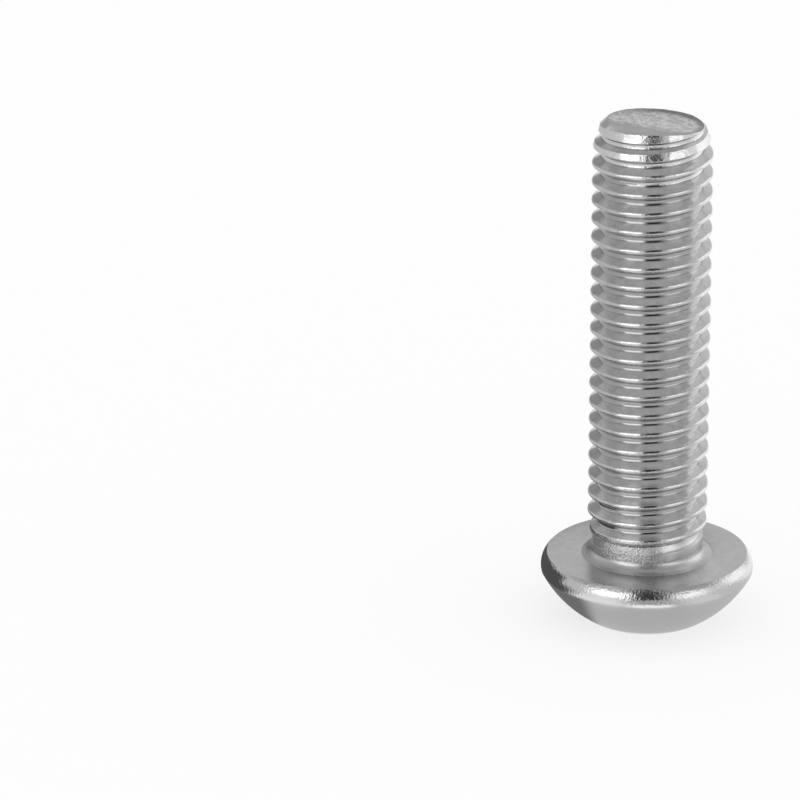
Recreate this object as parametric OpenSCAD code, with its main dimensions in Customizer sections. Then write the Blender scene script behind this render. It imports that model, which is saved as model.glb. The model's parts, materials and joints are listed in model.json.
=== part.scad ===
// Button head socket screw, M8 by 30, with a right-hand thread along its whole shank.
// It stands on the flat ring of its crown, tip up. All sizes are in millimetres.
// The origin is on the axis in the plane of the crown ring, and +Z runs to the tip.

/* [Head] */
// Largest diameter of the head
head_d = 13.76; // [12:0.01:18]
// Height of the head, from the crown ring to the bearing face
head_h = 4.24; // [3.9:0.01:6]
// Diameter of the flat bearing face
bearing_d = 12.98; // [10.6:0.01:13.6]
// Height of the rounded rim band, from the bearing face down to the dome
band_h = 1.18; // [1:0.01:1.6]
// Drop of the band's widest place below the bearing face
band_drop = 0.9; // [0.4:0.05:0.95]
// Outer diameter of the flat ring on the crown
crown_d = 7.66; // [7:0.01:9]

/* [Socket] */
// Width of the hexagon across its flats
socket_af = 5; // [4:0.05:5.2]
// Depth of the full hexagon below the crown ring
socket_depth = 2.75; // [2:0.05:3]
// Diameter of the countersink's mouth
mouth_d = 6.5; // [6.1:0.05:6.8]
// Angle of the countersink, measured across
mouth_angle = 100; // [80:5:120]
// Width of the ledge round the foot of the hexagon
ledge_w = 0.14; // [0.05:0.01:0.3]
// Depth of the smaller hexagon below the ledge
foot_depth = 0.2; // [0.1:0.05:0.4]
// Depth of the six-sided point that the punch leaves in the floor
point_depth = 0.6; // [0.2:0.05:0.8]

/* [Shank] */
// Length under the head, from the bearing face to the middle of the tip
shank_l = 29.54; // [12:0.01:60]
// Diameter over the thread's crests
thread_d = 7.78; // [7.6:0.01:9]
// Pitch of the thread
pitch = 1.25; // [1:0.05:1.5]
// Depth of the thread, from its crests to the bottom of its groove
thread_depth = 0.65; // [0.4:0.01:0.8]
// Diameter of the plain blank that the thread is rolled on
blank_d = 7.12; // [6.9:0.01:7.3]
// Turn of the thread about the axis
thread_turn = 332; // [0:1:359]
// Diameter of the plain neck
neck_d = 7.18; // [6.8:0.01:7.6]
// Length of the plain neck
neck_l = 0.6; // [0.55:0.01:1]
// Diameter of the flare where the neck meets the bearing face
flare_d = 8.3; // [7.8:0.05:9.6]
// Height of the flare
flare_h = 0.45; // [0.2:0.05:0.5]
// Radius of the flare's hollow curve
flare_r = 0.8; // [0.6:0.05:2]

/* [Run-out] */
// Height above the bearing face where the crests start to rise
crest_from = 0.5; // [0.3:0.05:2]
// Height above the bearing face where the crests are full
crest_full = 2.9; // [2.1:0.05:5]
// Height above the bearing face where the groove starts
groove_from = 1.15; // [1:0.05:2]
// Height above the bearing face where the groove is full
groove_full = 1.85; // [1.8:0.05:5]

/* [Tip] */
// Diameter of the end face's rim
end_d = 6.44; // [5:0.01:6.6]
// Angle of the steep taper round the tip to the end face
taper_angle = 61; // [45:1:70]
// Diameter where the steep taper ends and the slow one starts
taper_d = 7.28; // [6.8:0.01:7.5]
// Length of the tip over which the crests grow to their full height
taper_l = 3; // [2:0.05:4]
// Depth of the shallow cup in the end face
cup_depth = 0.2; // [0.05:0.01:0.4]
// Width of the slope round the cup's floor
cup_slope = 0.75; // [0.3:0.05:1.2]
// Tilt of the end face, where the blank was cropped
end_tilt = 6; // [0:0.5:8]
// Direction in which the end face is tilted down
end_turn = 50; // [0:1:359]

/* [Hidden] */
steel = [0.74, 0.74, 0.73];

head_r = head_d / 2;
bearing_r = bearing_d / 2;
crown_r = crown_d / 2;
mouth_r = mouth_d / 2;
thread_r = thread_d / 2;
blank_r = blank_d / 2;
neck_r = neck_d / 2;
end_r = end_d / 2;
z_bearing = head_h;
z_tip = z_bearing + shank_l;
// How far a cutting shape runs past the surface that it cuts
past = 1;

// Rim band: an arc through the edge of the bearing face, with its widest place at band_drop
band_in = head_r - bearing_r;
band_r = (band_in * band_in + band_drop * band_drop) / (2 * band_in);
band_x = head_r - band_r;
// Foot of the band, where the dome starts
z_dome = z_bearing - band_h;
dome_edge = band_x + sqrt(band_r * band_r - (band_h - band_drop) * (band_h - band_drop));
// Dome: a sphere about the axis, through the foot of the band and the edge of the crown ring
dome_z = (dome_edge * dome_edge + z_dome * z_dome - crown_r * crown_r) / (2 * z_dome);
dome_r = norm([crown_r, dome_z]);

// Flare: a hollow arc of flare_r from the neck to the edge of the flare
flare_w = flare_d / 2 - neck_r;
flare_chord = norm([flare_w, flare_h]);
flare_off = sqrt(flare_r * flare_r - flare_chord * flare_chord / 4) / flare_chord;
flare_x = neck_r + flare_w / 2 + flare_h * flare_off;
flare_z = flare_h / 2 + flare_w * flare_off;

// Thread section: flanks at 60 degrees to each other, flat crests and a rounded groove
flank_slope = tan(30);
crest_half = pitch / 16;
root_r = thread_r - thread_depth;
root_round = 0.07;
root_edge = root_r + root_round;
root_half = pitch / 2 - crest_half - (thread_r - root_edge) * flank_slope;
// Each corner of the section over one pitch: its radius, its rise from the groove's middle,
// and which way it slides along its flank where the thread isn't full
section = [
    [root_r, 0, 0],
    [root_edge, root_half, -1],
    [thread_r, pitch / 2 - crest_half, -1],
    [thread_r, pitch / 2 + crest_half, 1],
    [root_edge, pitch - root_half, 1]
];
corners = len(section);
// Height of crest and depth of groove that stay where the thread has run out
seam = 0.02;
// Steps in one turn, and in the whole thread from inside the head to past the tip
turn_steps = 36;
sunk_turns = 1.5;
z_sunk = z_bearing - sunk_turns * pitch;
thread_steps = ceil((z_tip - z_sunk) / pitch * turn_steps);

// Share from 0 to 1 that x has covered between two heights, with soft ends
function smooth(low, high, x) =
    let (t = min(1, max(0, (x - low) / (high - low))))
    t * t * (3 - 2 * t);

// Radius of a thread corner at a height above the bearing face, with the run-out
function rolled(r, h) =
    r > blank_r
        ? blank_r + max(seam, (r - blank_r) * smooth(crest_from, crest_full, h))
        : blank_r - max(seam, (blank_r - r) * smooth(groove_from, groove_full, h));

// One corner of the section, a number of steps along the helix
function thread_point(step, corner) =
    let (a = 360 * step / turn_steps - thread_turn)
    let (full_r = section[corner][0])
    let (z = z_sunk + pitch * step / turn_steps + section[corner][1])
    let (r = rolled(full_r, z - z_bearing))
    [r * cos(a), r * sin(a), z + section[corner][2] * (full_r - r) * flank_slope];

// Number of a corner in the list of points. The corner above the last is the next turn's first.
function at(step, corner) =
    corner == corners
        ? at(step + turn_steps, 0)
        : corners * min(step, thread_steps + 1) + max(0, step - thread_steps - 1) + corner;

// The rolled thread, a solid helix closed at both ends by fans to points on the axis
module thread() {
    foot_point = corners * (thread_steps + 1) + turn_steps;
    top_point = foot_point + 1;
    points = [
        for (step = [0:thread_steps], corner = [0:corners - 1]) thread_point(step, corner),
        for (step = [1:turn_steps]) thread_point(thread_steps + step, 0),
        [0, 0, z_sunk + pitch / 2],
        [0, 0, z_sunk + pitch * (thread_steps / turn_steps + 1)]
    ];
    sides = [
        for (step = [0:thread_steps - 1], corner = [0:corners - 1])
            each [
                [at(step, corner), at(step, corner + 1), at(step + 1, corner + 1)],
                [at(step, corner), at(step + 1, corner + 1), at(step + 1, corner)]
            ]
    ];
    foot = [
        for (step = [0:turn_steps - 1]) [at(step, 0), at(step + 1, 0), foot_point],
        for (corner = [0:corners - 1]) [at(0, corner + 1), at(0, corner), foot_point]
    ];
    top = [
        for (step = [thread_steps:thread_steps + turn_steps - 1])
            [at(step + 1, 0), at(step, 0), top_point],
        for (corner = [0:corners - 1])
            [at(thread_steps, corner), at(thread_steps, corner + 1), top_point]
    ];
    polyhedron(points = points, faces = concat(sides, foot, top), convexity = 10);
}

// Half section of the head: the dome, the rim band and the bearing face
module head_section() {
    intersection() {
        translate([0, dome_z]) circle(r = dome_r, $fn = 180);
        square([head_r, z_dome]);
    }
    intersection() {
        translate([band_x, z_bearing - band_drop]) circle(r = band_r, $fn = 120);
        translate([band_x, z_dome]) square([band_r, band_h]);
    }
    translate([0, z_dome]) square([band_x, band_h]);
}

// Half section of the plain neck and of the flare at its foot, which runs on into the head
module neck_section() {
    sunk = neck_l / 2;
    square([neck_r, neck_l]);
    difference() {
        translate([0, -sunk]) square([flare_x, sunk + (flare_h + neck_l) / 2]);
        translate([flare_x, flare_z]) circle(r = flare_r, $fn = 120);
    }
}

// The head and neck, turned about the axis
module head() {
    rotate_extrude($fn = 120) head_section();
    translate([0, 0, z_bearing]) rotate_extrude($fn = 120) neck_section();
}

// A six-sided bar with the given width across its flats
module hexagon(af, h) {
    cylinder(d = af / cos(30), h = h, $fn = 6);
}

// The hexagon socket, opened by its countersink and pointed at its floor
module socket() {
    foot_af = socket_af - 2 * ledge_w;
    z_foot = socket_depth + foot_depth;
    mouth_l = mouth_r / tan(mouth_angle / 2);
    translate([0, 0, -past]) hexagon(socket_af, past + socket_depth);
    translate([0, 0, socket_depth - past]) hexagon(foot_af, past + foot_depth);
    translate([0, 0, z_foot]) cylinder(d1 = foot_af / cos(30), d2 = 0, h = point_depth, $fn = 6);
    cylinder(r1 = mouth_r, r2 = 0, h = mouth_l, $fn = 120);
    translate([0, 0, -past]) cylinder(r = mouth_r, h = past, $fn = 120);
}

// What is taken off round the tip: the steep taper, then the slow one up to full crests
module tip_taper() {
    outer = thread_r + past;
    taper_r = taper_d / 2;
    bend = (taper_r - end_r) * tan(taper_angle);
    // The slow taper runs on a little outside the crests, clear of their corners
    clear = 0.03;
    foot = taper_l + clear * (taper_l - bend) / (thread_r - taper_r);
    translate([0, 0, z_tip]) rotate_extrude($fn = 120) polygon([
        [thread_r + clear, -foot],
        [taper_r, -bend],
        [end_r - past / tan(taper_angle), past],
        [outer, past],
        [outer, -foot]
    ]);
}

// What is taken off above the end face: a shallow cup whose slope runs out past the rim
module end_cut() {
    outer = thread_r + past;
    floor_r = end_r - cup_slope;
    high = 2 * pitch + past;
    translate([0, 0, z_tip]) rotate([0, 0, end_turn]) rotate([0, end_tilt, 0]) rotate_extrude($fn = 120) polygon([
        [0, -cup_depth],
        [floor_r, -cup_depth],
        [outer, cup_depth / cup_slope * (outer - end_r)],
        [outer, high],
        [0, high]
    ]);
}

// The whole screw, one piece of steel
module screw() {
    color(steel) difference() {
        union() {
            head();
            thread();
        }
        socket();
        tip_taper();
        end_cut();
    }
}

screw();
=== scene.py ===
"""Button head socket screw: the steel piece, its finish and the studio that it stands in."""
import json
import math
from contextlib import contextmanager

import bpy
import numpy as np
from bpy.props import FloatProperty, FloatVectorProperty, IntProperty, PointerProperty
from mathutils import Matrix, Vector, noise


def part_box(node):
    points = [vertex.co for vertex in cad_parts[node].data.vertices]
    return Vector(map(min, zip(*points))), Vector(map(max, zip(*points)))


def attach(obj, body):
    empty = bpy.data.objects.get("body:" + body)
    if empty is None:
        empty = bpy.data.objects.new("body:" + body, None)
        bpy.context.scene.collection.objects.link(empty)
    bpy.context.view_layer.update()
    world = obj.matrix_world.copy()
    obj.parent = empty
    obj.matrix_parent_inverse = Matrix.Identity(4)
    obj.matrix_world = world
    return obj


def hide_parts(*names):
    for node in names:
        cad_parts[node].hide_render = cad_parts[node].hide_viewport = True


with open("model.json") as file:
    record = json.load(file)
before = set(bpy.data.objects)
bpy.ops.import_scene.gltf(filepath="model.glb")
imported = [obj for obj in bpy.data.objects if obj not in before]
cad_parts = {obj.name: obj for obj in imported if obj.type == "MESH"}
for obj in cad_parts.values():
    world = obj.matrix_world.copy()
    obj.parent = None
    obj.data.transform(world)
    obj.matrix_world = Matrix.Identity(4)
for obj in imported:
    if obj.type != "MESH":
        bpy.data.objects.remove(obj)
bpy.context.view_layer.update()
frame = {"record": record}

bl_info = {
    "name": "Button Head Socket Screw",
    "version": (1, 0, 0),
    "blender": (4, 5, 0),
    "location": "View3D > Sidebar > Screw",
    "description": "Models a button head socket screw in satin stainless steel, with a small studio",
    "category": "Add Mesh",
}

# The frame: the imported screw's box and the places of its mounts
MOUNTS = {mount["name"]: mount for mount in frame["record"]["mounts"]}
NODE = "screw"
NODE_LOW, NODE_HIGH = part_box(NODE)

# The screw is modelled in millimetres and brought to metres when it is finished
MM = 0.001
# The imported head's facets reach further on some sides than on others, so the smallest half width counts
HEAD_D = 2 * min(NODE_HIGH[0], -NODE_LOW[0], NODE_HIGH[1], -NODE_LOW[1]) / MM
HEAD_H = MOUNTS["bearing_face"]["pos_m"][2] / MM
THREAD_D = 2 * MOUNTS["thread"]["dims"]["r_mm"]
SOCKET_DEPTH = MOUNTS["hex_socket"]["dims"]["length_mm"]

# The flanks lie 30 degrees from the plane across the screw
FLANK_SLOPE = math.tan(math.radians(30))
# Points nearer than this are one point
MERGE_GAP = 1e-4
# How far a cutter reaches past what it cuts
PAST = 1.0


def size(name, description, default):
    """A length of the screw, in millimetres."""
    return FloatProperty(name=name, description=description, default=default, min=0.0, precision=3)


class ScrewSizes(bpy.types.PropertyGroup):
    """Sizes of the screw, in millimetres."""

    head_d: size("Head", "Largest diameter of the head", HEAD_D)
    head_h: size("Head Height", "From the crown ring to the bearing face", HEAD_H)
    bearing_d: size("Bearing Face", "Outer diameter of the flat bearing face", 12.98)
    band_h: size("Rim Band", "Height of the rounded band under the bearing face", 1.18)
    band_drop: size("Band Drop", "Drop of the widest place below the bearing face", 0.9)
    crown_d: size("Crown Ring", "Outer diameter of the flat ring on the crown", 7.66)
    socket_af: size("Hexagon", "Width of the socket across its flats", 5.0)
    socket_depth: size("Socket Depth", "Depth of the full hexagon", SOCKET_DEPTH)
    mouth_d: size("Socket Mouth", "Diameter of the countersink at the crown", 6.5)
    ledge_w: size("Ledge", "Width of the ledge round the hexagon's foot", 0.14)
    foot_depth: size("Foot", "Depth of the smaller hexagon below the ledge", 0.2)
    point_depth: size("Point", "Depth of the six-sided point in the floor", 0.6)
    shank_l: size("Shank", "Length under the head, to the middle of the tip", 29.54)
    thread_d: size("Thread", "Diameter over the crests", THREAD_D)
    pitch: size("Pitch", "Pitch of the thread", 1.25)
    thread_depth: size("Thread Depth", "From the crests to the bottom of the groove", 0.65)
    crest_sag: size("Crest Sag", "How far the crest leans towards the head", 0.06)
    root_round: size("Root", "Radius in the corners of the groove", 0.13)
    blank_d: size("Blank", "Diameter of the blank that the thread is rolled on", 7.12)
    neck_d: size("Neck", "Diameter of the plain neck", 7.18)
    neck_l: size("Neck Length", "Length of the plain neck", 0.6)
    flare_d: size("Flare", "Diameter of the flare at the bearing face", 8.3)
    flare_h: size("Flare Height", "Height of the flare", 0.45)
    flare_r: size("Flare Curve", "Radius of the flare's hollow curve", 0.8)
    crest_from: size("Crest From", "Height where the crests start to rise", 0.5)
    crest_full: size("Crest Full", "Height where the crests are full", 2.9)
    groove_from: size("Groove From", "Height where the groove starts", 1.15)
    groove_full: size("Groove Full", "Height where the groove is full", 1.85)
    end_d: size("End Face", "Diameter of the end face's rim", 6.44)
    cup_depth: size("Cup", "Depth of the shallow cup in the end face", 0.2)
    cup_wall: size("Cup Wall", "Width of the cup's wall inside the rim", 0.24)
    taper_l: size("Taper Length", "Length over which the tip tapers", 3.2)
    mouth_angle: FloatProperty(
        name="Mouth Angle", description="Angle of the countersink, measured across",
        default=math.radians(100), subtype="ANGLE",
    )
    end_tilt: FloatProperty(
        name="End Tilt", description="Tilt of the end face, where the blank was cropped",
        default=math.radians(5.2), subtype="ANGLE",
    )
    end_turn: FloatProperty(
        name="End Turn", description="Direction in which the end face is tilted down",
        default=math.radians(50), subtype="ANGLE",
    )
    thread_turn: FloatProperty(
        name="Thread Turn", description="Turn of the thread about the axis",
        default=math.radians(-28), subtype="ANGLE",
    )
    turn_steps: IntProperty(
        name="Turn Steps", description="Steps in one turn of the thread", default=144, min=24, max=192,
    )
    round_steps: IntProperty(
        name="Round Steps", description="Steps round the head", default=160, min=24, max=256,
    )


class StudioLook(bpy.types.PropertyGroup):
    """The camera and the light."""

    camera_at: FloatVectorProperty(
        name="Camera", description="Place of the camera", size=3, unit="LENGTH", subtype="TRANSLATION",
        default=(-0.01694, -0.55016, 0.22704),
    )
    camera_rise: FloatProperty(
        name="Camera Rise", description="How far the camera looks down", subtype="ANGLE",
        default=math.radians(21.107),
    )
    camera_lean: FloatProperty(
        name="Camera Lean", description="How far the camera leans to the side", subtype="ANGLE",
        default=math.radians(-0.24),
    )
    lens: FloatProperty(name="Lens", description="Focal length, in millimetres", default=412.0, min=1.0)


def alone(piece):
    """Selects one object only."""
    bpy.ops.object.select_all(action="DESELECT")
    piece.select_set(True)
    bpy.context.view_layer.objects.active = piece


@contextmanager
def editing(piece):
    """Edit mode on one object, with all of it selected."""
    alone(piece)
    bpy.ops.object.mode_set(mode="EDIT")
    bpy.ops.mesh.select_all(action="SELECT")
    yield
    bpy.ops.object.mode_set(mode="OBJECT")


def arc(centre, radius, start, end, steps):
    """Points of an arc in the half section, from one angle to another, in degrees."""
    angles = [math.radians(start + (end - start) * i / steps) for i in range(steps + 1)]
    return [(centre[0] + radius * math.cos(a), centre[1] + radius * math.sin(a)) for a in angles]


def arc_between(centre, first, last, steps):
    """Points of the arc about a centre from one point to another."""
    radius = math.dist(centre, first)
    start = math.degrees(math.atan2(first[1] - centre[1], first[0] - centre[0]))
    end = math.degrees(math.atan2(last[1] - centre[1], last[0] - centre[0]))
    return arc(centre, radius, start, end, steps)


def draw_section(name, points):
    """Draws an open line through half section points (radius, height), one extrusion at a time."""
    bpy.ops.object.select_all(action="DESELECT")
    bpy.ops.mesh.primitive_plane_add(size=1.0, location=(points[0][0], 0.0, points[0][1]))
    piece = bpy.context.object
    piece.name = name
    with editing(piece):
        bpy.ops.mesh.merge(type="CENTER")
        for (r0, z0), (r1, z1) in zip(points, points[1:]):
            bpy.ops.mesh.extrude_region_move(TRANSFORM_OT_translate={"value": (r1 - r0, 0.0, z1 - z0)})
    bpy.ops.object.transform_apply(location=True, rotation=True, scale=True)
    return piece


def close_up(piece, gap=MERGE_GAP):
    """Merges doubled points and turns all faces outwards."""
    with editing(piece):
        bpy.ops.mesh.remove_doubles(threshold=gap)
        bpy.ops.mesh.normals_make_consistent(inside=False)


def spin_round(piece, steps):
    """Turns a drawn section about the screw's axis."""
    with editing(piece):
        bpy.ops.mesh.spin(steps=steps, angle=2 * math.pi, center=(0, 0, 0), axis=(0, 0, 1))
    close_up(piece)
    return piece


def apply(piece, modifier):
    """Applies a modifier by its name."""
    alone(piece)
    bpy.ops.object.modifier_apply(modifier=modifier.name)


def combine(piece, other, operation):
    """Joins another solid to a piece, or cuts it away, and removes it."""
    modifier = piece.modifiers.new(operation, "BOOLEAN")
    modifier.operation = operation
    modifier.solver = "EXACT"
    modifier.object = other
    apply(piece, modifier)
    bpy.data.objects.remove(other)


def head_points(s):
    """Half section of the head and neck, from the axis at the crown to the axis at the neck's top."""
    head_r = s.head_d / 2
    crown = (s.crown_d / 2, 0.0)
    # Rim band: an arc with its widest place below the bearing face
    inset = head_r - s.bearing_d / 2
    band_r = (inset ** 2 + s.band_drop ** 2) / (2 * inset)
    band_centre = (head_r - band_r, s.head_h - s.band_drop)
    low = s.band_h - s.band_drop
    dome_edge = (band_centre[0] + math.sqrt(band_r ** 2 - low ** 2), s.head_h - s.band_h)
    bearing_edge = (s.bearing_d / 2, s.head_h)
    # Dome: a sphere about the axis
    rise = (dome_edge[0] ** 2 + dome_edge[1] ** 2 - crown[0] ** 2) / (2 * dome_edge[1])
    dome = arc_between((0.0, rise), crown, dome_edge, 20)
    band = arc_between(band_centre, dome_edge, bearing_edge, 12)
    # Flare: a hollow arc between the bearing face and the neck
    neck_r = s.neck_d / 2
    width = s.flare_d / 2 - neck_r
    chord = math.hypot(width, s.flare_h)
    off = math.sqrt(s.flare_r ** 2 - chord ** 2 / 4) / chord
    flare_centre = (
        neck_r + width / 2 + s.flare_h * off,
        s.head_h + s.flare_h / 2 + width * off,
    )
    foot = (neck_r + width, s.head_h)
    # A fine groove round the flare's foot
    groove = [(foot[0] + 0.2, s.head_h), (foot[0] + 0.09, s.head_h - 0.035)]
    top = (neck_r, s.head_h + s.flare_h)
    start = math.degrees(math.atan2(foot[1] - flare_centre[1], foot[0] - flare_centre[0])) % 360
    end = math.degrees(math.atan2(top[1] - flare_centre[1], top[0] - flare_centre[0])) % 360
    flare = arc(flare_centre, s.flare_r, start, end, 8)
    neck_top = s.head_h + s.neck_l
    return [(0.0, 0.0)] + dome + band[1:] + groove + flare + [(neck_r, neck_top), (0.0, neck_top)]


# Rounding of the crest: from one slope to another in degrees, with its radius in millimetres
CREST_ARCS = ((60, 40, 0.12), (40, 8, 0.24), (8, -35, 0.15), (-35, -60, 0.06))
# Half the width over which an unfull crest's edges slide, in millimetres
CREST_HALF = 0.135


def crest_points():
    """The crest from its upper flank to its lower one, about its outermost point."""
    points = [(0.0, 0.0)]
    for start, end, radius in CREST_ARCS:
        steps = max(2, round((start - end) / 11))
        r0, z0 = points[-1]
        for k in range(1, steps + 1):
            a, b = math.radians(start), math.radians(start + (end - start) * k / steps)
            across, along = math.cos(b) - math.cos(a), math.sin(b) - math.sin(a)
            points.append((r0 + radius * across, z0 + radius * along))
    out_r, out_z = max(points)
    return [(r - out_r, z - out_z) for r, z in points]


def thread_points(s):
    """Section of one pitch, from the middle of a groove to the middle of the next."""
    crest_r = s.thread_d / 2
    root_r = crest_r - s.thread_depth
    crest = [(crest_r + r, s.pitch / 2 - s.crest_sag + z) for r, z in crest_points()]
    (upper_r, upper_z), (lower_r, lower_z) = crest[0], crest[-1]
    # Rounded corners of the groove, which meet the flanks smoothly
    tangent_r, tangent_z = root_r + s.root_round / 2, s.root_round * math.sin(math.radians(60))
    low = lower_z - (lower_r - tangent_r) * FLANK_SLOPE - tangent_z
    high = upper_z + (upper_r - tangent_r) * FLANK_SLOPE + tangent_z
    corner = [
        (root_r + s.root_round * (1 - math.cos(a)), s.root_round * math.sin(a))
        for a in (0.0, math.radians(30), math.radians(60))
    ]
    return (
        [(root_r, 0.0)] + [(r, low + z) for r, z in corner] + crest[::-1]
        + [(r, high - z) for r, z in reversed(corner)] + [(root_r, s.pitch)]
    )


def soft_step(low, high, x):
    """Share from 0 to 1 that x has covered between two heights, with soft ends."""
    t = np.clip((x - low) / (high - low), 0, 1)
    return t * t * (3 - 2 * t)


def lumps(points, size, seed):
    """Soft noise from -1 to 1 at points in millimetres."""
    shift = Vector((seed, 2 * seed, 3 * seed))
    return np.array([noise.noise(Vector(p) / size + shift) for p in points])


def read_points(piece):
    """The piece's points as rows of numbers."""
    co = np.empty(len(piece.data.vertices) * 3, np.float32)
    piece.data.vertices.foreach_get("co", co)
    return co.reshape(-1, 3).astype(float)


def write_points(piece, co):
    """Moves the piece's points."""
    piece.data.vertices.foreach_set("co", co.ravel())
    piece.data.update()


def fade_thread(piece, s):
    """Tears the crests a little, and lets crests and groove fade into the blank above the neck.

    Where a crest isn't full, its edges slide down the flanks, so it is wider and lower."""
    co = read_points(piece)
    radius = np.hypot(co[:, 0], co[:, 1])
    turn = (np.arctan2(co[:, 1], co[:, 0]) + s.thread_turn) / (2 * math.pi)
    place = (co[:, 2] - thread_foot(s)) / s.pitch - turn
    whole = np.floor(place + 1e-4)
    rise = (place - whole) * s.pitch
    share = np.clip((rise - s.pitch / 2 + s.crest_sag) / CREST_HALF, -1, 1)
    root_r, blank_r = s.thread_d / 2 - s.thread_depth, s.blank_d / 2
    crest = radius > (root_r + s.thread_d / 2) / 2
    # Height of the crest's line above the bearing face at each point
    above = thread_foot(s) + s.pitch * (whole + turn + 0.5) - s.head_h
    # The crests stay this far above the blank, and the groove this far below it
    seam = 0.02
    grown = soft_step(s.crest_from, s.crest_full, above)
    drop = np.where(crest, radius - blank_r - np.maximum(seam, (radius - blank_r) * grown), 0)
    # Torn laps: the crest's edges and its flat wander along the helix
    rows = np.flatnonzero(crest & (above > s.crest_from))
    along = (whole + turn) * math.pi * s.thread_d
    line = np.stack([along[rows], share[rows] * 0.12, 0 * rows], axis=1)
    rough = 1 + 1.2 * (1 - grown[rows])
    drop[rows] += rough * (0.004 + 0.01 * lumps(line, 0.33, 5.3))
    new_z = co[:, 2] + share * drop * FLANK_SLOPE
    new_z[rows] += 0.015 * lumps(line, 0.24, 11.7) * rough * (np.abs(share[rows]) > 0.3)
    new_r = radius - drop
    # The groove's bottom rises towards the neck
    floor_r = blank_r - np.maximum(
        seam, (blank_r - root_r) * soft_step(s.groove_from, s.groove_full, co[:, 2] - s.head_h)
    )
    shallow = ~crest & (radius < floor_r)
    side = np.where(np.minimum(rise, s.pitch - rise) < 1e-3, 0, np.where(rise < s.pitch / 2, 1, -1))
    new_z = np.where(shallow, new_z + side * (floor_r - radius) * FLANK_SLOPE, new_z)
    new_r = np.where(shallow, floor_r, new_r)
    co[:, :2] *= (new_r / radius)[:, None]
    co[:, 2] = new_z
    write_points(piece, co)


def thread_foot(s):
    """Height of the groove's middle where the thread starts, inside the head."""
    return s.head_h - 1.5 * s.pitch


def roll_thread(s):
    """The rolled thread: one pitch drawn, wound up the shank and faded out at the neck."""
    piece = draw_section("thread", thread_points(s))
    piece.location.z = thread_foot(s)
    piece.rotation_euler.z = -s.thread_turn
    alone(piece)
    bpy.ops.object.transform_apply(location=True, rotation=True, scale=True)
    wind = piece.modifiers.new("Wind", "SCREW")
    wind.axis = "Z"
    wind.angle = 2 * math.pi
    wind.screw_offset = s.pitch
    wind.iterations = math.ceil((s.shank_l + 3 * s.pitch) / s.pitch)
    wind.steps = wind.render_steps = s.turn_steps
    wind.use_smooth_shade = True
    apply(piece, wind)
    with editing(piece):
        bpy.ops.mesh.remove_doubles(threshold=MERGE_GAP)
    fade_thread(piece, s)
    # Both ends are cut square and filled: the lower one inside the head, the upper one past the tip
    sunk, over = 0.2, 0.5
    with editing(piece):
        for height, lower in ((s.head_h - sunk, True), (s.head_h + s.shank_l + over, False)):
            bpy.ops.mesh.select_all(action="SELECT")
            bpy.ops.mesh.bisect(
                plane_co=(0, 0, height), plane_no=(0, 0, 1), use_fill=True,
                clear_inner=lower, clear_outer=not lower, threshold=1e-5,
            )
    close_up(piece)
    return piece


def hexagon_cutter(name, af, top, foot, point=0.0):
    """A six-sided bar between two heights, with corners on the X axis and a point on its top."""
    bpy.ops.object.select_all(action="DESELECT")
    bpy.ops.mesh.primitive_cylinder_add(
        vertices=6, radius=af / 2 / math.cos(math.radians(30)), depth=top - foot,
        location=(0, 0, (top + foot) / 2), rotation=(0, 0, math.radians(30)),
    )
    cutter = bpy.context.object
    cutter.name = name
    if point:
        bpy.ops.object.mode_set(mode="EDIT")
        bpy.ops.mesh.select_mode(type="FACE")
        bpy.ops.mesh.select_all(action="DESELECT")
        bpy.ops.object.mode_set(mode="OBJECT")
        for face in cutter.data.polygons:
            face.select = face.normal.z > 0.9
        bpy.ops.object.mode_set(mode="EDIT")
        bpy.ops.mesh.poke(offset=point)
        bpy.ops.mesh.select_mode(type="VERT")
        bpy.ops.object.mode_set(mode="OBJECT")
    return cutter


def cone_cutter(name, vertices, r_low, r_high, low, high):
    """A cone between two heights."""
    bpy.ops.object.select_all(action="DESELECT")
    bpy.ops.mesh.primitive_cone_add(
        vertices=vertices, radius1=r_low, radius2=r_high, depth=high - low,
        location=(0, 0, (low + high) / 2),
    )
    bpy.context.object.name = name
    return bpy.context.object


def socket_cutters(s):
    """The hexagon, its smaller foot with a six-sided point, and the countersink."""
    foot_af = s.socket_af - 2 * s.ledge_w
    foot_end = s.socket_depth + s.foot_depth
    spread = math.tan(s.mouth_angle / 2)
    return [
        hexagon_cutter("hexagon", s.socket_af, s.socket_depth, -PAST),
        hexagon_cutter("hexagon_foot", foot_af, foot_end, s.socket_depth - PAST / 2, s.point_depth),
        cone_cutter(
            "countersink", s.round_steps, s.mouth_d / 2 + PAST * spread, 0.0,
            -PAST, s.mouth_d / 2 / spread,
        ),
    ]


# Half section of the torn band below the end face: distance inside the end face's radius, and depth
BAND = (
    (0.06, -0.66), (-0.04, -0.4), (-0.12, -0.15), (-0.16, 0.05), (-0.2, 0.3), (-0.25, 0.55), (-0.32, 0.8),
)


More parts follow.
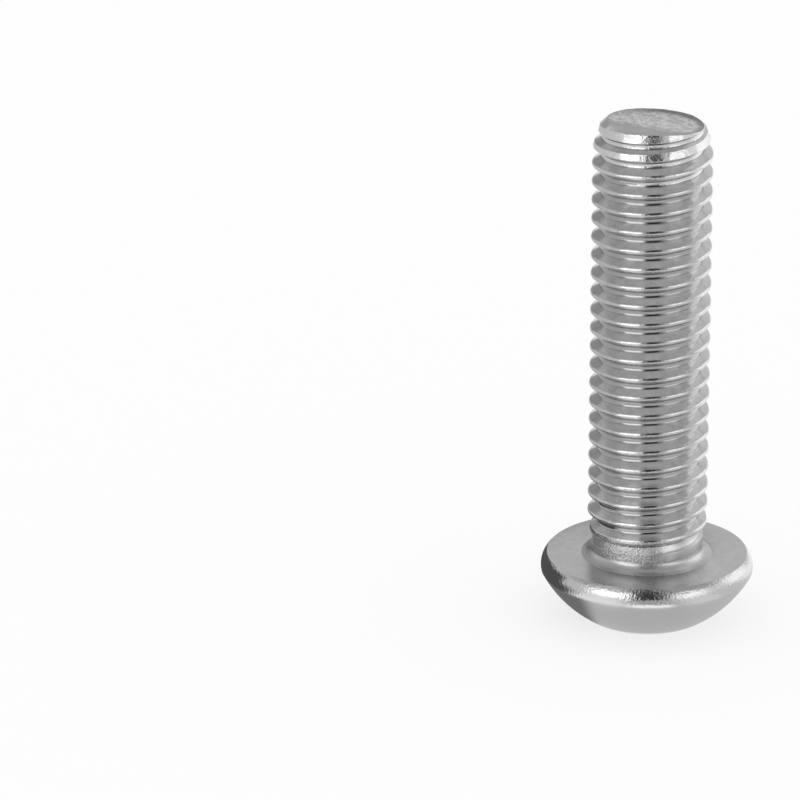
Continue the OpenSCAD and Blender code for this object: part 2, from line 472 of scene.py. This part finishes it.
def taper_cutter(s):
    """What the blank's tapered end leaves off the crests round the tip, with torn dents."""
    band = [(s.end_d / 2 - inside, -deep) for inside, deep in BAND]
    # The slow taper runs on a little outside the crests, clear of their corners
    (last_r, last_z), full_r, steps = band[-1], s.thread_d / 2 + 0.03, 8
    slow = [
        (last_r + (full_r - last_r) * (1 - (1 - k / steps) ** 3), last_z - (s.taper_l + last_z) * k / steps)
        for k in range(1, steps + 1)
    ]
    outer = s.thread_d / 2 + PAST
    cutter = draw_section("tip_taper", band + slow + [(outer, -s.taper_l), (outer, band[0][1]), band[0]])
    spin_round(cutter, s.round_steps)
    co = read_points(cutter)
    radius = np.hypot(co[:, 0], co[:, 1])
    rows = np.flatnonzero((radius < s.thread_d / 2 - 0.02) & (co[:, 2] < 0.6))
    dent = 0.022 * lumps(co[rows], 0.3, 3.1) + 0.012 * lumps(co[rows], 0.17, 7.9)
    co[rows, :2] *= (1 + dent / radius[rows])[:, None]
    write_points(cutter, co)
    cutter.location = (0, 0, s.head_h + s.shank_l)
    return cutter


def end_cutter(s):
    """What comes off above the end face: a shallow bowl with a bevel outside its rim.

    It sits a little to one side, so that the bevel is wide on the other."""
    reach = s.thread_d / 2 + PAST
    sunk = 0.02
    rim_r = s.end_d / 2 - sunk
    # Depth below the rim at steps inwards: a short wall, then a slow bowl
    wall = ((0.0, 0.0), (0.33, 0.3), (0.67, 0.56), (1.0, 0.72), (1.5, 0.82))
    bowl = [(rim_r * share, -s.cup_depth * (1 - 0.16 * share)) for share in np.linspace(0, 0.82, 9)]
    bowl += [(rim_r - s.cup_wall * step, -s.cup_depth * deep) for step, deep in reversed(wall)]
    bowl += [(reach, rim_r - reach), (reach, 4 * s.pitch), (0.0, 4 * s.pitch)]
    end = spin_round(draw_section("end_cut", bowl), s.round_steps)
    co = read_points(end)
    rows = np.flatnonzero((np.hypot(co[:, 0], co[:, 1]) < rim_r + 0.2) & (co[:, 2] < 0.5))
    co[rows, 2] += 0.02 * lumps(co[rows], 0.9, 4.7) + 0.012 * lumps(co[rows], 0.35, 9.1)
    write_points(end, co)
    end.location = (0.2, -0.1, s.head_h + s.shank_l - sunk)
    end.rotation_euler = (0, s.end_tilt, s.end_turn)
    return end


def form_screw(s):
    """The whole screw in one mesh, in metres."""
    piece = spin_round(draw_section("screw_steel", head_points(s)), s.round_steps)
    combine(piece, roll_thread(s), "UNION")
    for cutter in socket_cutters(s) + [taper_cutter(s), end_cutter(s)]:
        combine(piece, cutter, "DIFFERENCE")
    close_up(piece, 2 * MERGE_GAP)
    piece.scale = (MM, MM, MM)
    alone(piece)
    bpy.ops.object.transform_apply(location=True, rotation=True, scale=True)
    bpy.ops.object.shade_smooth_by_angle(angle=math.radians(32))
    # Flat faces keep their own slope where a rounded corner meets them
    even = piece.modifiers.new("Even", "WEIGHTED_NORMAL")
    even.keep_sharp = True
    apply(piece, even)
    return piece


class Nodes:
    """Adds shader nodes to one tree. An input takes a number, a colour or another node's output."""

    def __init__(self, tree):
        self.tree = tree

    def add(self, kind, inputs=(), **settings):
        made = self.tree.nodes.new(kind)
        for key, value in settings.items():
            setattr(made, key, value)
        for key, value in dict(inputs).items():
            self.feed(made.inputs[key], value)
        return made

    def feed(self, socket, value):
        if isinstance(value, bpy.types.NodeSocket):
            self.tree.links.new(value, socket)
        else:
            socket.default_value = value

    def math(self, operation, *values):
        made = self.add("ShaderNodeMath", operation=operation)
        for socket, value in zip(made.inputs, values):
            self.feed(socket, value)
        return made.outputs[0]

    def ramp(self, value, low, high, to_low=0.0, to_high=1.0):
        """Maps a value from one span to another, with soft ends."""
        made = self.add("ShaderNodeMapRange", {
            "Value": value, "From Min": low, "From Max": high, "To Min": to_low, "To Max": to_high,
        }, interpolation_type="SMOOTHSTEP")
        return made.outputs["Result"]

    def noise(self, vector, scale, detail=2.0, rough=0.5):
        made = self.add("ShaderNodeTexNoise", {
            "Vector": vector, "Scale": scale, "Detail": detail, "Roughness": rough,
        })
        return made.outputs["Fac"]


def grey(level):
    """A grey as a colour for a shader socket."""
    return (level, level, level, 1)


def group_tree(name, inputs, outputs):
    """Starts a node group with named number inputs and outputs."""
    tree = bpy.data.node_groups.new(name, "ShaderNodeTree")
    for title, default in inputs:
        made = tree.interface.new_socket(title, in_out="INPUT", socket_type="NodeSocketFloat")
        made.default_value = default
    for title, kind in outputs:
        tree.interface.new_socket(title, in_out="OUTPUT", socket_type=kind)
    nodes = Nodes(tree)
    return nodes, nodes.add("NodeGroupInput"), nodes.add("NodeGroupOutput")


def place_group(s):
    """Where a point lies on the screw, in millimetres."""
    g, _, out = group_tree("screw_place", [], [
        ("Point", "NodeSocketVector"), ("Radius", "NodeSocketFloat"), ("Height", "NodeSocketFloat"),
        ("Across", "NodeSocketFloat"), ("Along", "NodeSocketFloat"), ("Turn", "NodeSocketFloat"),
    ])
    coords = g.add("ShaderNodeTexCoord").outputs["Object"]
    point = g.add("ShaderNodeVectorMath", {0: coords, "Scale": 1 / MM}, operation="SCALE").outputs[0]
    axes = g.add("ShaderNodeSeparateXYZ", {0: point}).outputs
    x_squared, y_squared = (g.math("MULTIPLY", axis, axis) for axis in axes[:2])
    radius = g.math("SQRT", g.math("ADD", x_squared, y_squared))
    angle = g.math("ARCTAN2", axes[1], axes[0])
    turn = g.math("DIVIDE", g.math("ADD", angle, s.thread_turn), 2 * math.pi)
    climb = g.math("DIVIDE", g.math("SUBTRACT", axes[2], thread_foot(s)), s.pitch)
    pitches = g.math("SUBTRACT", climb, turn)
    whole = g.math("FLOOR", pitches)
    across = g.math("MULTIPLY", g.math("SUBTRACT", g.math("SUBTRACT", pitches, whole), 0.5), s.pitch)
    along = g.math("MULTIPLY", g.math("ADD", whole, turn), math.pi * s.thread_d)
    height = g.math("SUBTRACT", axes[2], s.head_h)
    for title, socket in (
        ("Point", point), ("Radius", radius), ("Height", height),
        ("Across", across), ("Along", along), ("Turn", turn),
    ):
        g.feed(out.inputs[title], socket)
    return g.tree


def grain_group():
    """Fine grain: rounded dents of one size with finer grain on them."""
    g, given, out = group_tree(
        "grain", [("Size", 0.1), ("Sharpness", 0.5)], [("Height", "NodeSocketFloat")]
    )
    g.tree.interface.new_socket("Point", in_out="INPUT", socket_type="NodeSocketVector")
    scale = g.math("DIVIDE", 1.0, given.outputs["Size"])
    coarse = g.noise(given.outputs["Point"], scale, 1.0)
    fine = g.noise(given.outputs["Point"], g.math("MULTIPLY", scale, 2.7), 2.0, 0.6)
    mixed = g.add("ShaderNodeMix", {
        "Factor": given.outputs["Sharpness"], "A": coarse, "B": fine,
    }, data_type="FLOAT")
    g.feed(out.inputs["Height"], mixed.outputs["Result"])
    return g.tree


def rings_group():
    """Fine turned rings round the axis."""
    g, given, out = group_tree(
        "turned_rings", [("Radius", 1.0), ("Size", 0.1)], [("Height", "NodeSocketFloat")]
    )
    line = g.add("ShaderNodeCombineXYZ", {0: given.outputs["Radius"]}).outputs[0]
    g.feed(out.inputs["Height"], g.noise(line, g.math("DIVIDE", 1.0, given.outputs["Size"]), 2.0, 0.6))
    return g.tree


class Finish:
    """One steel finish: a material with the shared groups in it."""

    def __init__(self, name, groups, level=0.62, roughness=0.25):
        self.material = bpy.data.materials.new(name)
        self.material.use_nodes = True
        self.n = Nodes(self.material.node_tree)
        self.shader = self.material.node_tree.nodes["Principled BSDF"]
        self.groups = groups
        self.place = self.group("place").outputs
        self.shader.inputs["Base Color"].default_value = grey(level)
        self.shader.inputs["Metallic"].default_value = 1.0
        self.shader.inputs["Roughness"].default_value = roughness
        self.normal = None

    def group(self, name, **inputs):
        return self.n.add("ShaderNodeGroup", inputs, node_tree=self.groups[name])

    def grain(self, size, sharpness=0.5, point=None):
        point = point or self.place["Point"]
        return self.group("grain", Size=size, Sharpness=sharpness, Point=point).outputs[0]

    def rings(self, size):
        return self.group("rings", Radius=self.place["Radius"], Size=size).outputs[0]

    def bump(self, height, depth, strength=1.0):
        """Adds relief of a depth in millimetres on top of the relief before it."""
        inputs = {"Height": height, "Distance": depth * MM, "Strength": strength}
        if self.normal:
            inputs["Normal"] = self.normal
        self.normal = self.n.add("ShaderNodeBump", inputs).outputs[0]
        self.n.feed(self.shader.inputs["Normal"], self.normal)

    def roughness(self, value, low, high):
        """Lets the roughness follow a grain."""
        self.n.feed(self.shader.inputs["Roughness"], self.n.ramp(value, 0.3, 0.7, low, high))

    def tint(self, value, dark, light):
        """Greys from dark to light."""
        made = self.n.add("ShaderNodeMix", {
            "Factor": value, "A": grey(dark), "B": grey(light),
        }, data_type="RGBA")
        self.n.feed(self.shader.inputs["Base Color"], made.outputs["Result"])


def rolled_finish(groups, s):
    """Thread: smooth rolled flanks, torn crests, a rough start above the neck and painted shade in the
    bottom of the groove.
    """
    f = Finish("rolled_thread", groups)
    n, place = f.n, f.place
    cloud = f.grain(0.6, 0.4)
    # Rough where the thread starts above the neck, most of all on one side
    start = n.ramp(place["Height"], 1.2, 2.6, 1.0, 0.0)
    polish = n.ramp(cloud, 0.3, 0.7, 0.06, 0.14)
    n.feed(f.shader.inputs["Roughness"], n.math("ADD", polish, n.math("MULTIPLY", start, 0.2)))
    one_side = n.math("MULTIPLY", start, n.ramp(place["Turn"], -0.34, -0.26, 1.0, 0.15))
    # Painted shade: the base colour is darker in the bottom of the groove
    root_r, crest_r = s.thread_d / 2 - s.thread_depth, s.thread_d / 2
    bottom = n.ramp(place["Radius"], root_r + 0.03, root_r + 0.16, 0.55, 1.0)
    f.tint(n.math("MULTIPLY", n.ramp(cloud, 0.3, 0.7, 0.8, 1.0), bottom), 0.25, 0.68)
    f.bump(f.grain(0.25, 0.5), 0.0008)
    # The crest band: torn laps that run along the helix
    near = n.ramp(n.math("ABSOLUTE", place["Across"]), 0.12, 0.2, 1.0, 0.0)
    crest = n.math("MULTIPLY", near, n.ramp(place["Radius"], crest_r - 0.25, crest_r - 0.1))
    lap_width = n.math("MULTIPLY", place["Across"], 2.2)
    lap_at = n.add("ShaderNodeCombineXYZ", {0: place["Along"], 1: lap_width}).outputs[0]
    f.bump(f.grain(0.2, 0.3, lap_at), 0.014, crest)
    f.bump(f.grain(0.16, 0.3), 0.1, one_side)
    return f.material


def tumbled_finish(groups, s):
    """Rim band: dented all over by tumbling."""
    f = Finish("tumbled_band", groups, 0.66, 0.08)
    f.bump(f.grain(0.17, 0.25), 0.03)
    return f.material


def satin_finish(groups, s):
    """Dome: even satin."""
    f = Finish("satin_dome", groups)
    f.roughness(f.grain(0.9, 0.4), 0.21, 0.28)
    f.bump(f.grain(0.12, 0.5), 0.003)
    return f.material


def turned_finish(groups, s):
    """Bearing face, flare and neck: fine grain with faint turned rings."""
    f = Finish("turned_face", groups)
    f.roughness(f.grain(0.5, 0.5), 0.26, 0.36)
    f.bump(f.grain(0.1, 0.4), 0.006)
    f.bump(f.rings(0.12), 0.006)
    # Scale on the neck
    neck = f.n.ramp(f.place["Height"], 0.15, 0.4)
    f.bump(f.grain(0.16, 0.4), 0.02, neck)
    return f.material


def cropped_finish(groups, s):
    """End face: sheared smooth on one side, dull and mottled on the other, with painted shade on the smooth
    side and towards the cup's wall and painted light on the broken side.
    """
    f = Finish("cropped_end", groups)
    n, place = f.n, f.place
    cloud = f.grain(0.45, 0.5)
    # Across the end face, from its smooth side to its broken one
    across = n.add("ShaderNodeVectorMath", {
        0: place["Point"], 1: (0.4, 0.9, 0.0),
    }, operation="DOT_PRODUCT").outputs["Value"]
    broken = n.ramp(n.math("ADD", across, cloud), -1.2, 0.2)
    n.feed(f.shader.inputs["Roughness"], n.math("ADD", 0.24, n.math("MULTIPLY", broken, 0.16)))
    # Painted shade: darker towards the cup's wall
    rim = n.ramp(place["Radius"], s.end_d / 2 - 0.55, s.end_d / 2 - 0.15, 1.0, 0.35)
    # Painted light and shade: the broken side is painted pale and the smooth side dark, while its roughness
    # and dents are real
    pale = n.math("MULTIPLY", n.math("MULTIPLY", broken, n.ramp(cloud, 0.4, 0.6, 0.5, 1.0)), rim)
    f.tint(n.math("MAXIMUM", pale, n.math("MULTIPLY", rim, 0.15)), 0.27, 0.88)
    f.bump(f.grain(0.3, 0.4), 0.04, broken)
    f.bump(f.grain(0.12, 0.4), 0.012, broken)
    return f.material


def torn_finish(groups, s):
    """Band round the tip: torn and bright."""
    f = Finish("torn_chamfer", groups, 0.76, 0.13)
    f.bump(f.grain(0.35, 0.3), 0.045)
    f.bump(f.grain(0.12, 0.4), 0.018)
    return f.material


def punched_finish(groups, s):
    """Socket: smooth punched walls with faint drag marks."""
    f = Finish("punched_socket", groups)
    f.roughness(f.grain(0.4, 0.5), 0.16, 0.28)
    f.bump(f.grain(0.15, 0.5), 0.003)
    return f.material


FINISHES = (
    rolled_finish, tumbled_finish, satin_finish, turned_finish, cropped_finish, torn_finish,
    punched_finish,
)


def give_finishes(piece, s):
    """Gives the piece its finishes, face by face, by the place and normal of each face."""
    groups = {"place": place_group(s), "grain": grain_group(), "rings": rings_group()}
    for make in FINISHES:
        piece.data.materials.append(make(groups, s))
    count = len(piece.data.polygons)
    centre = np.empty(count * 3, np.float32)
    normal = np.empty(count * 3, np.float32)
    piece.data.polygons.foreach_get("center", centre)
    piece.data.polygons.foreach_get("normal", normal)
    centre = centre.reshape(-1, 3) / MM
    normal = normal.reshape(-1, 3)
    radius = np.hypot(centre[:, 0], centre[:, 1])
    height = centre[:, 2] - s.head_h
    outward = (centre[:, 0] * normal[:, 0] + centre[:, 1] * normal[:, 1]) / np.maximum(radius, 1e-6)
    upward = normal[:, 2]
    near = 1e-3
    tip = height > s.shank_l - 0.6
    taper = (height > s.shank_l - s.taper_l) & (outward > 0.6) & (upward > -0.1)
    taper &= radius > s.end_d / 2 - 0.4
    # A later row takes faces from the rows before it
    rows = (
        (satin_finish, height < near),
        (tumbled_finish, (height < near) & (height > -s.band_h) & (radius > s.bearing_d / 2 - 1)),
        (turned_finish, (np.abs(height) < 0.04) & (upward > 0.9) & (radius < s.bearing_d / 2)),
        (turned_finish, (height > -near) & (height < s.neck_l + 0.01) & (radius > s.blank_d / 2 - 0.05)),
        (punched_finish, (height < 0) & (radius < s.crown_d / 2 - 0.01)),
        (torn_finish, taper & (tip | (outward > 0.88))),
        (cropped_finish, tip & (upward > 0.4) & (outward < 0.3)),
    )
    choice = np.full(count, FINISHES.index(rolled_finish), np.int32)
    for make, faces in rows:
        choice[faces] = FINISHES.index(make)
    piece.data.polygons.foreach_set("material_index", choice)
    piece.data.update()


class SCREW_OT_add_screw(bpy.types.Operator):
    """Model the steel screw and give it its finishes"""

    bl_idname = "screw.add_screw"
    bl_label = "Add Screw"

    def execute(self, context):
        s = context.scene.screw_sizes
        piece = form_screw(s)
        give_finishes(piece, s)
        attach(piece, "root")
        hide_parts(NODE)
        return {"FINISHED"}


# Soft lights and dark flags that only the steel reflects. Each row is a name, the azimuth from and to
# with its softness in degrees, the reach from and to with its softness, and the brightness. Azimuth is
# seen from the screw, with 0 towards the camera. Reach is the rise in degrees on the dome, and the
# distance in millimetres on the floor. A later row lies over the rows before it.
DOME_BASE = 0.42
DOME = (
    ("side_left", -150, -66, 8, -40, 32, 5, 0.68),
    ("corner_left", -171, -140, 6, -40, 32, 5, 0.34),
    ("back", 140, 190, 7, -40, 34, 5, 0.72),
    ("high_left", -150, -92, 8, 30, 42, 5, 0.52),
    ("high_left_front", -66, -30, 8, 32, 62, 6, 0.62),
    ("high_right", 96, 146, 8, 32, 62, 6, 0.70),
    ("side_right", 60, 96, 6, -40, 32, 5, 0.76),
    ("panel_back", 94, 136, 6, -40, 32, 5, 1.30),
    ("panel_right", 30, 64, 8, -40, 30, 6, 1.40),
    ("panel_left", -64, -21, 6, -40, 36, 6, 1.85),
    ("flag_front", -17, 17, 5, -40, 64, 4, 0.05),
)
FLOOR_BASE = 0.62
FLOOR = (
    ("front_left", -66, -20, 10, 8, 900, 2, 1.05),
    ("front", -18, 20, 7, 13, 900, 2, 0.42),
    ("front_line", -16, 18, 6, 8.5, 12.5, 1.5, 1.30),
    ("right", 30, 66, 8, 8, 900, 3, 0.85),
    ("far", -80, 70, 12, 32, 140, 8, 0.72),
    ("side_right", 66, 104, 6, 8, 900, 3, 0.72),
    ("right_back", 104, 165, 8, 12, 900, 6, 1.10),
    ("back", 165, 192, 6, 12, 900, 6, 0.85),
    ("dark_left", -178, -70, 12, 4.5, 22, 1.0, 0.08),
    ("under_left", -120, -50, 10, 4.0, 8.5, 1.0, 0.20),
)
# Radius of the dome and of the lit floor, which lies just above the pale one, in metres
DOME_R = 0.65
LIT_FLOOR_R = DOME_R * 0.99
LIT_FLOOR_Z = 0.0002
# A dark card curved round the head's left: azimuth from and to, distance and height in metres
DARK_CARD = (-172, -70, 0.0095, 0.0056)
CARD_GLOW = 0.1


def soft_window(n, value, low, high, soft):
    """1 between two values and 0 beyond them, with soft edges."""
    rise = n.ramp(value, low - soft, low + soft)
    fall = n.ramp(value, high - soft, high + soft, 1.0, 0.0)
    return n.math("MULTIPLY", rise, fall)


def glow(name, base, patches, flat=False):
    """A light's material: an even glow with soft patches by direction."""
    material = bpy.data.materials.new(name)
    material.use_nodes = True
    tree = material.node_tree
    tree.nodes.remove(tree.nodes["Principled BSDF"])
    n = Nodes(tree)
    point = n.add("ShaderNodeTexCoord").outputs["Object"]
    axes = n.add("ShaderNodeSeparateXYZ", {0: point}).outputs
    azimuth = n.math("DEGREES", n.math("ARCTAN2", axes[0], n.math("MULTIPLY", axes[1], -1.0)))
    away = n.add("ShaderNodeVectorMath", {0: point}, operation="LENGTH").outputs["Value"]
    if flat:
        reach = n.math("DIVIDE", away, MM)
    else:
        reach = n.math("DEGREES", n.math("ARCSINE", n.math("DIVIDE", axes[2], away)))
    strength = base
    for _, az0, az1, az_soft, low, high, soft, bright in patches:
        # The azimuth is counted from the patch's middle, so that a patch may lie across the back
        turned = n.math("WRAP", n.math("SUBTRACT", azimuth, (az0 + az1) / 2), 180.0, -180.0)
        half = (az1 - az0) / 2
        beside, along = soft_window(n, turned, -half, half, az_soft), soft_window(n, reach, low, high, soft)
        mask = n.math("MULTIPLY", beside, along)
        strength = n.add("ShaderNodeMix", {
            "Factor": mask, "A": strength, "B": bright,
        }, data_type="FLOAT").outputs["Result"]
    light = n.add("ShaderNodeEmission", {"Color": (1, 1, 1, 1), "Strength": strength})
    n.feed(tree.nodes["Material Output"].inputs["Surface"], light.outputs[0])
    return material


def only_reflected(light):
    """Lets a light show in the steel and nowhere else, so that it neither lights nor shades the floor."""
    for kind in ("camera", "diffuse", "transmission", "volume_scatter", "shadow"):
        setattr(light, "visible_" + kind, False)


def add_reflections():
    """The dome of light, the lit floor and the dark card that the steel reflects."""
    bpy.ops.object.select_all(action="DESELECT")
    bpy.ops.mesh.primitive_uv_sphere_add(segments=96, ring_count=48, radius=DOME_R)
    dome = bpy.context.object
    dome.name = "light_dome"
    dome.data.materials.append(glow("dome_glow", DOME_BASE, DOME))
    bpy.ops.object.select_all(action="DESELECT")
    bpy.ops.mesh.primitive_circle_add(vertices=96, radius=LIT_FLOOR_R, fill_type="NGON")
    disc = bpy.context.object
    disc.name = "light_floor"
    for vertex in disc.data.vertices:
        vertex.co.z = LIT_FLOOR_Z
    disc.data.materials.append(glow("floor_glow", FLOOR_BASE, FLOOR, flat=True))
    bpy.ops.object.select_all(action="DESELECT")
    bpy.ops.mesh.primitive_grid_add(x_subdivisions=16, y_subdivisions=1, size=1.0)
    card = bpy.context.object
    card.name = "dark_card"
    az0, az1, distance, high = DARK_CARD
    for vertex in card.data.vertices:
        along, up = vertex.co.x + 0.5, vertex.co.y + 0.5
        vertex.co = around(az0 + (az1 - az0) * along, distance, high * up)
    card.data.materials.append(glow("card_glow", CARD_GLOW, ()))
    for light in (dome, disc, card):
        only_reflected(light)


def around(azimuth, distance, height):
    """A point seen from the screw in a direction, with 0 towards the camera and 90 to its right."""
    a = math.radians(azimuth)
    return Vector((distance * math.sin(a), -distance * math.cos(a), height))


def add_floor():
    """A pale floor that keeps a soft shadow and can be seen through from below."""
    bpy.ops.object.select_all(action="DESELECT")
    bpy.ops.mesh.primitive_plane_add(size=6.0)
    floor = bpy.context.object
    floor.name = "floor"
    material = bpy.data.materials.new("pale_floor")
    material.use_nodes = True
    tree = material.node_tree
    n = Nodes(tree)
    shader = tree.nodes["Principled BSDF"]
    shader.inputs["Base Color"].default_value = (0.95, 0.95, 0.95, 1)
    shader.inputs["Roughness"].default_value = 0.8
    shader.inputs["Specular IOR Level"].default_value = 0.0
    white = n.add("ShaderNodeEmission", {"Color": (1, 1, 1, 1), "Strength": 1.0}).outputs[0]
    path = n.add("ShaderNodeLightPath").outputs
    seen = n.math("MAXIMUM", path["Is Camera Ray"], path["Is Glossy Ray"])
    seen = n.math("MAXIMUM", seen, path["Is Transmission Ray"])
    # The floor glows by this share where it is seen, and the rest shows the shadow
    white_share = 0.75
    lit = n.add("ShaderNodeMixShader", {
        0: n.math("MULTIPLY", seen, white_share), 1: shader.outputs[0], 2: white,
    }).outputs[0]
    clear = n.add("ShaderNodeBsdfTransparent").outputs[0]
    back = n.add("ShaderNodeNewGeometry").outputs["Backfacing"]
    both = n.add("ShaderNodeMixShader", {0: back, 1: lit, 2: clear}).outputs[0]
    n.feed(tree.nodes["Material Output"].inputs["Surface"], both)
    floor.data.materials.append(material)


def add_world(scene):
    """Plain soft white light from all round."""
    world = bpy.data.worlds.new("white_studio")
    world.use_nodes = True
    background = world.node_tree.nodes["Background"]
    background.inputs["Color"].default_value = (1, 1, 1, 1)
    background.inputs["Strength"].default_value = 1.0
    scene.world = world


class SCREW_OT_add_stage(bpy.types.Operator):
    """Set up the floor, the soft light, what the steel reflects and the camera"""

    bl_idname = "screw.add_stage"
    bl_label = "Add Studio"

    def execute(self, context):
        look = context.scene.screw_look
        add_floor()
        add_world(context.scene)
        add_reflections()
        bpy.ops.object.camera_add(
            location=look.camera_at, rotation=(math.pi / 2 - look.camera_rise, look.camera_lean, 0)
        )
        camera = context.object
        camera.data.lens = look.lens
        camera.data.clip_start = 0.01
        camera.data.clip_end = 10.0
        context.scene.camera = camera
        context.scene.view_settings.view_transform = "Standard"
        return {"FINISHED"}


class SCREW_PT_panel(bpy.types.Panel):
    """Screw"""

    bl_label = "Screw"
    bl_idname = "SCREW_PT_panel"
    bl_space_type = "VIEW_3D"
    bl_region_type = "UI"
    bl_category = "Screw"

    def draw(self, context):
        column = self.layout.column()
        for operator in OPERATORS:
            column.operator(operator.bl_idname)


OPERATORS = (SCREW_OT_add_screw, SCREW_OT_add_stage)
CLASSES = (ScrewSizes, StudioLook, *OPERATORS, SCREW_PT_panel)


def register():
    for cls in CLASSES:
        bpy.utils.register_class(cls)
    bpy.types.Scene.screw_sizes = PointerProperty(type=ScrewSizes)
    bpy.types.Scene.screw_look = PointerProperty(type=StudioLook)


def unregister():
    del bpy.types.Scene.screw_look
    del bpy.types.Scene.screw_sizes
    for cls in reversed(CLASSES):
        bpy.utils.unregister_class(cls)


def main():
    register()
    bpy.ops.screw.add_screw()
    bpy.ops.screw.add_stage()


if __name__ == "__main__":
    main()
